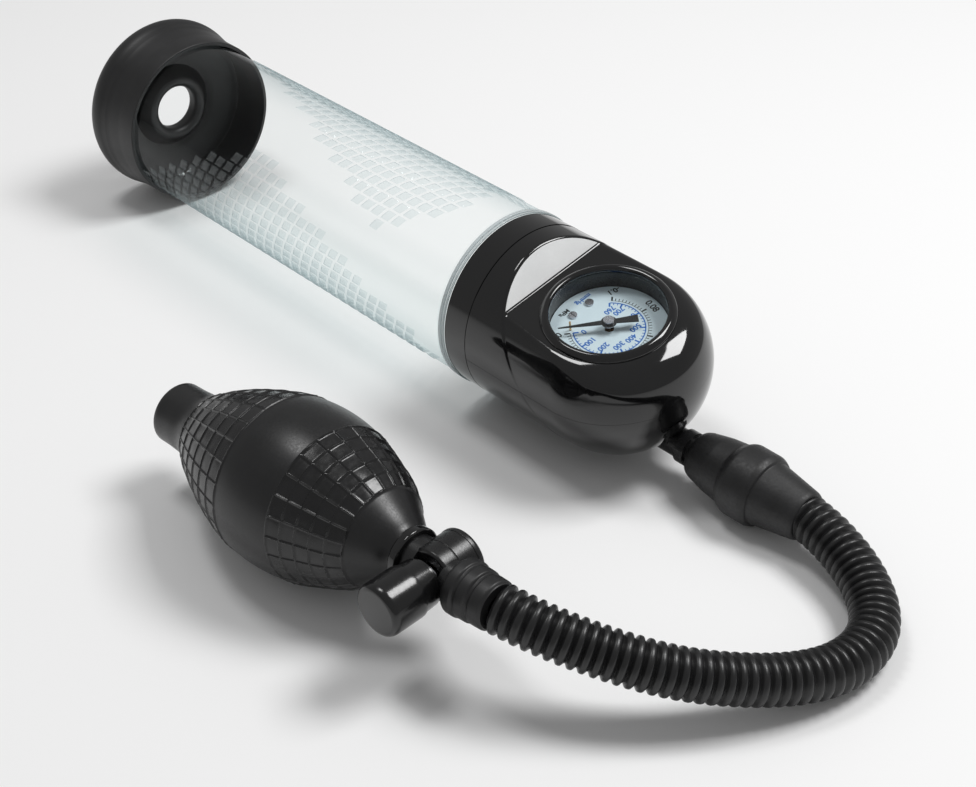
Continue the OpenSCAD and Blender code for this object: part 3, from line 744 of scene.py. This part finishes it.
def make_sleeve():
    """A skirt, a rolled rim and a web with a thick-edged hole, all one moulding."""
    skirt = fillet([(SKIRT_X, SLEEVE_BORE, 0), (SKIRT_X, 33.3, 0.5), (-191, 33.4, 1.0),
                    (-198, 34.0, 3.0), (-201.5, 35.1, 2.0)])
    outline = skirt[:-FILLET_STEPS - 1] + arc((-205, 27.4), RIM_ROUND, 64, 225, 26) + [(-206.5, 16)]
    outline += arc((-202, HOLE_EDGE_R), HOLE_ROUND, 150, 270, 12)
    outline += arc((-200, HOLE_EDGE_R), HOLE_ROUND, 270, 400, 12)
    outline += [(-202.6, 17.5), (-202.9, 22), (SLEEVE_STOP, 27.5), (SLEEVE_STOP, SLEEVE_BORE)]
    sleeve = lathe("rubber_sleeve", outline, TUBE, RUBBER, even_turn(TUBE_SIDES))
    return finish_piece(sleeve, "sleeve", ["end_sleeve"])


make_sleeve()

# ---- Bright edge of the clear tube at the seam ----

TUBE_RADIUS = 31.6
LIP_RADIUS = 32.1
LIP_RINGS = [(0.7, 2.0), (2.5, 3.3)]
RING_FOOT = TUBE_RADIUS + 0.05
RING_CREST = LIP_RADIUS + 0.1
RING_ROUND = 0.35


def make_lip():
    """The thick rounded edge, where the clear plastic gathers the light in two rings."""
    rings = []
    for start, end in LIP_RINGS:
        outline = fillet([(start, RING_FOOT, 0), (start, RING_CREST, RING_ROUND),
                          (end, RING_CREST, RING_ROUND), (end, RING_FOOT, 0)])
        rings.append(lathe("seam_lip", outline, TUBE, CLEAR_LIP, even_turn(TUBE_SIDES)))
    return finish_piece(join("seam_lip", rings), "pump")


make_lip()

# ---- Clear tube: its outer face, turned in round the thick open end ----

TUBE_BORE = 29.0
OPEN_X = -200
OPEN_BEVEL = 0.8
TURN_IN = 14
LIP_LENGTH = 3.5
SPIGOT_X = 12.5
SPIGOT_RADIUS = 28.8
SPIGOT_BORE = 26.4


def make_tube():
    """A single sheet without a wall thickness, so that little light is lost on the way through."""
    outline = [(SPIGOT_X, SPIGOT_BORE), (SPIGOT_X, SPIGOT_RADIUS), (LIP_LENGTH, SPIGOT_RADIUS),
               (LIP_LENGTH, LIP_RADIUS), (0, LIP_RADIUS), (0, TUBE_RADIUS)]
    outline += [(OPEN_X + OPEN_BEVEL, TUBE_RADIUS), (OPEN_X, TUBE_RADIUS - OPEN_BEVEL),
                (OPEN_X, TUBE_BORE + OPEN_BEVEL), (OPEN_X + OPEN_BEVEL, TUBE_BORE),
                (OPEN_X + TURN_IN, TUBE_BORE)]
    angles = even_turn(TUBE_SIDES)
    verts = [TUBE @ Vector((x, r * math.cos(a), r * math.sin(a))) for x, r in outline for a in angles]
    tube = link_mesh("clear_cylinder", verts, grid_faces(len(outline), len(angles)), CLEAR)
    finish_piece(tube, "pump", ["clear_tube"])


make_tube()

# ---- Slanted cells moulded on the clear tube ----

CELL_PITCH = 5.4
CELL_ROW = 4.6
CELL_WIDTH = 4.1
CELL_DEPTH = 3.7
CELL_SLANT = 0.45
CELL_HEIGHT = 0.3
CELL_STEPS = 6
CELL_EDGE = 0.25
CELL_CLEARANCE = 0.02
CELL_REGION = (-186, -12)

# Each flame: its tip along the tube, its tip's angle, the way it widens, its two slopes in mm per degree.
RISING_FLAME = (-108, -137, 1, 1.1, 1.5)
HANGING_FLAME = (-41, -129, -1, 1.43, 0.9)
FLAME_REACH = 112


def cell_patch(verts, faces, x, degrees):
    """One raised slanted cell with sloped edges, bent round the tube."""
    first = len(verts)
    count = CELL_STEPS + 1
    for i in range(count):
        for j in range(count):
            p, q = 2 * i / CELL_STEPS - 1, 2 * j / CELL_STEPS - 1
            lift = CELL_HEIGHT * min(1.0, (1 - max(abs(p), abs(q))) / CELL_EDGE)
            across = CELL_DEPTH / 2 * q
            along = x + CELL_WIDTH / 2 * p - CELL_SLANT * across
            a = math.radians(degrees) + across / TUBE_RADIUS
            r = TUBE_RADIUS + CELL_CLEARANCE + lift
            verts.append(TUBE @ Vector((along, r * math.sin(a), -r * math.cos(a))))
    faces += [tuple(first + k for k in f) for f in grid_faces(count, count, close_columns=False)]


def in_flame(flame, x, degrees):
    """Whether a place on the tube is in a pointed shape, its angle measured from below."""
    tip_x, tip_angle, way, left, right = flame
    past_tip = way * (degrees - tip_angle) % 360
    return past_tip < FLAME_REACH and tip_x - left * past_tip < x < tip_x + right * past_tip


def make_cells():
    verts, faces = [], []
    rows = round(2 * math.pi * TUBE_RADIUS / CELL_ROW / 2) * 2
    columns = round((CELL_REGION[1] - CELL_REGION[0]) / CELL_PITCH)
    for k in range(rows):
        degrees = 360 * k / rows
        for i in range(columns):
            x = CELL_REGION[0] + CELL_PITCH * (i + 0.5 * (k % 2))
            flames = (in_flame(flame, x, degrees) for flame in (RISING_FLAME, HANGING_FLAME))
            if CELL_REGION[0] < x < CELL_REGION[1] and any(flames):
                cell_patch(verts, faces, x, degrees)
    cells = link_mesh("moulded_cells", verts, faces, CLEAR_CELL, smooth_angle=20)
    finish_piece(cells, "pump")


make_cells()

# ---- Squeeze bulb with its raised lattice ----

BULB_OUTLINE = [(-63.4, 10.4), (-56, 10.6), (-49, 11.6), (-40, 16.4), (-30, 21), (-20, 24.5), (-10, 26.9),
                (0, 27.4), (10, 26.1), (20, 22.7), (30, 18.6), (38, 13.1), (42, 10.3), (44.6, 8.3),
                (46.8, 8.1)]
BAND_RINGS = ([-45, -39.4, -33.8, -28.2, -22.6, -17, -11.4], [11.5, 16, 20.5, 25, 29.5, 34])
BAND_RIBS = 24
RIB_PHASE = 7
RIB_HEIGHT = 0.38
RIB_WIDTH = 0.3
BORDER_REACH = 1.5
BORDER_ROUGH = 0.5
CELL_LIFT = 0.05
CELL_WAVE = 0.10
WAVE_LENGTH = 3
SKIN_DEPTH = 0.2
PROFILE_STEPS = 8
BULB_END = 46.8
TAIL_END = -63.4


def bulb_profile():
    """The bulb's smooth radius at any place along its axis."""
    line = smooth_line([(x, r, 0) for x, r in BULB_OUTLINE], PROFILE_STEPS)

    def radius(x):
        for a, b in zip(line, line[1:]):
            if a.x <= x <= b.x:
                return a.y + (b.y - a.y) * (x - a.x) / (b.x - a.x)
        return line[-1].y
    return radius


def lattice(x, r, angle):
    """Height of the raised lines at a place on the bulb."""
    place = Vector((x, r * math.cos(angle), r * math.sin(angle))) / WAVE_LENGTH
    height = 0.0
    for rings in BAND_RINGS:
        if rings[0] - BORDER_REACH < x < rings[-1] + BORDER_REACH:
            nearest = min(rings, key=lambda ring: abs(ring - x))
            lines = abs(x - nearest)
            border = nearest in (rings[0], rings[-1])
            if rings[0] <= x <= rings[-1]:
                step = 2 * math.pi / BAND_RIBS
                off = (angle - math.radians(RIB_PHASE) + step / 2) % step - step / 2
                lines = min(lines, abs(off) * r)
                height += CELL_WAVE * noise.noise(place) + CELL_LIFT
            rough = 1 + (BORDER_ROUGH * noise.noise(place * 4) if border else 0)
            height += RIB_HEIGHT * rough * math.exp(-((lines / RIB_WIDTH) ** 2))
    return height


def spread(start, end, lines, coarse, fine, reach):
    """Places from start to end, close together near some lines."""
    places = []
    x = start
    while x < end:
        places.append(x)
        near = min((abs(x - line) for line in lines), default=reach + 1)
        x += fine if near < reach else min(coarse, max(fine, near - reach))
    places.append(end)
    return places


def bulb_angles():
    """Angles round the bulb, close together at the ribs."""
    step = 360 / BAND_RIBS
    ribs = [RIB_PHASE + step * k for k in range(-1, BAND_RIBS + 2)]
    return [math.radians(a) for a in spread(0, 359.8, ribs, coarse=2.6, fine=0.3, reach=1.5)]


def make_bulb():
    """The bulb, its outer face first, then the mouth, the hollow and the tail."""
    radius = bulb_profile()
    rings = [ring for band in BAND_RINGS for ring in band]
    places = spread(TAIL_END + 0.4, BULB_END, rings, coarse=1.2, fine=0.14, reach=0.7)
    outer = [(x, radius(x)) for x in places]
    inner = [(BULB_END, 6.1), (38.5, 6.1), (30, 16.2), (0, 25), (-30, 18.6), (-46, 10), (-49, 6.6),
             (TAIL_END + 0.2, 6.6), (TAIL_END, 7.0), (TAIL_END, 9.9), (TAIL_END + 0.1, 10.2)]
    angles = bulb_angles()
    bulb = lathe("lattice_bulb", outer + inner, BULB, BULB_RUBBER, angles,
                 lambda x, r, a: lattice(x, r, a) if radius(x) - r < SKIN_DEPTH else 0)
    bulb.data.materials.append(CELL_RUBBER)
    for k, (x, _) in enumerate(outer):
        if any(band[0] <= x <= band[-1] for band in BAND_RINGS):
            for polygon in bulb.data.polygons[k * len(angles):(k + 1) * len(angles)]:
                polygon.material_index = 1
    finish_piece(bulb, "pump", ["squeeze_bulb"])


make_bulb()

# ---- Valve, knob, spring and collar ----


def make_collar():
    outline = fillet([(45, 8.4, 0), (45, 8.8, 0.2), (45.5, 9.15, 0.4), (47.8, 9.15, 0.5), (48.2, 8.6, 0.4),
                      (48.2, 7.45, 0), (46.9, 7.45, 0), (46.9, 8.4, 0)])
    return lathe("polished_collar", outline, BULB, GLOSS_BLACK)


def make_valve():
    barrel = fillet([(-3.1, 4.9, 0.2), (-3.1, 7.9, 0.4), (-2.5, 8.6, 0.5), (2.2, 8.6, 0.15), (2.4, 8.4, 0.1),
                     (2.6, 8.6, 0.15), (8.5, 8.6, 0), (8.5, 5.2, 0), (0.4, 5.2, 0), (0.4, 2, 0), (-1, 2, 0),
                     (-1, 4.9, 0)])
    neck = fillet([(40.5, 2.4, 0), (40.5, 6.05, 0.3), (47.2, 6.05, 0), (47.2, 7.4, 0), (52.5, 7.4, 0),
                   (52.5, 2.4, 0)])
    outlet = fillet([(62.5, 2.6, 0), (62.5, 6.6, 0), (65.8, 6.6, 0.3), (65.8, 4, 0), (78.5, 4, 0.4),
                     (78.5, 2.6, 0)])
    pieces = [lathe("barrel", barrel, VALVE, SATIN_BLACK), lathe("neck", neck, BULB, SATIN_BLACK),
              lathe("outlet", outlet, BULB, SATIN_BLACK)]
    return join("valve_housing", pieces)


def make_cap():
    outline = fillet([(8.55, 0.01, 0), (8.55, 8.75, 0.2), (10.1, 8.75, 0.6), (11, 7.8, 0.7), (11, 0.01, 0)])
    return lathe("valve_cap", outline, VALVE, SATIN_BLACK)


def make_knob():
    outline = fillet([(-13, 0.01, 0), (-13, 1.5, 0), (-9, 1.5, 0), (-9, 4.9, 0), (-5.4, 4.9, 0),
                      (-5.4, 6.9, 0.3), (-6.6, 6.9, 0.2), (-6.6, 7.6, 0.3), (-12, 7.9, 0.2),
                      (-12, 8.3, 0.25), (-13, 8.4, 0.4), (-22.7, 8.4, 0.6), (-23.9, 7.9, 0.6),
                      (-24.4, 7.0, 0.4), (-24.4, 0.01, 0)])
    return lathe("polished_knob", outline, VALVE, KNOB_BLACK)


SPRING_TURNS = 4.5
SPRING_RADIUS = 4.05
SPRING_ENDS = (-8.6, -3.6)
WIRE_RADIUS = 0.42
WIRE_SIDES = 10
STEPS_PER_TURN = 36


def make_spring():
    """A wire coil between the knob and the valve."""
    start, end = SPRING_ENDS
    count = round(SPRING_TURNS * STEPS_PER_TURN)
    verts = []
    for i in range(count + 1):
        a = 2 * math.pi * i / STEPS_PER_TURN
        out = Vector((0, math.cos(a), math.sin(a)))
        middle = Vector((start + (end - start) * i / count, 0, 0)) + SPRING_RADIUS * out
        for b in even_turn(WIRE_SIDES):
            verts.append(VALVE @ (middle + WIRE_RADIUS * (out * math.cos(b) + Vector((math.sin(b), 0, 0)))))
    faces = grid_faces(count + 1, WIRE_SIDES)
    faces += [tuple(range(WIRE_SIDES)), tuple(range(count * WIRE_SIDES, (count + 1) * WIRE_SIDES))]
    return link_mesh("coil_spring", verts, faces, STEEL)


finish_piece(make_collar(), "pump", ["bulb_collar"])
finish_piece(make_valve(), "pump", ["valve_body"])
finish_piece(make_cap(), "pump", ["valve_end_cap"])
finish_piece(make_knob(), "release", ["release_knob"])
finish_piece(make_spring(), "release", ["knob_spring"])

# ---- Floor, lights, world ----

FLOOR_HALF = 6.0
FLOOR_WHITE = (0.93, 0.93, 0.93, 1)
FLOOR_ROUGHNESS = 0.6
WORLD_STRENGTH = 0.32
HEAD_MIDDLE = Vector((0.12, 0.04, 0.05))
LIGHT_DISTANCE = 1.3
LIGHT_TARGET = Vector((0.08, 0, 0.02))


def make_floor():
    mesh = bpy.data.meshes.new("floor")
    corners = [(x * FLOOR_HALF, y * FLOOR_HALF, 0) for x, y in ((-1, -1), (1, -1), (1, 1), (-1, 1))]
    mesh.from_pydata(corners, [], [(0, 1, 2, 3)])
    floor = bpy.data.objects.new("floor", mesh)
    bpy.context.scene.collection.objects.link(floor)
    material, _, shader = new_material("floor_white")
    shader.inputs["Base Color"].default_value = FLOOR_WHITE
    shader.inputs["Roughness"].default_value = FLOOR_ROUGHNESS
    mesh.materials.append(material)


def make_world():
    world = bpy.data.worlds.new("studio")
    bpy.context.scene.world = world
    world.use_nodes = True
    background = world.node_tree.nodes["Background"]
    background.inputs["Color"].default_value = (1, 1, 1, 1)
    background.inputs["Strength"].default_value = WORLD_STRENGTH


def soft_light(name, azimuth, elevation, size, power):
    """A square light, seen from the head at an azimuth and elevation in degrees."""
    data = bpy.data.lights.new(name, "AREA")
    data.size = size
    data.energy = power
    light = bpy.data.objects.new(name, data)
    bpy.context.scene.collection.objects.link(light)
    a, e = math.radians(azimuth), math.radians(elevation)
    outward = Vector((math.cos(e) * math.cos(a), math.cos(e) * math.sin(a), math.sin(e)))
    aim(light, HEAD_MIDDLE + LIGHT_DISTANCE * outward, LIGHT_TARGET)


make_floor()
make_world()
soft_light("key", 62, 60, 0.5, 11)
soft_light("back", -165, 68, 0.32, 3.6)
bpy.context.scene.view_settings.view_transform = "Standard"
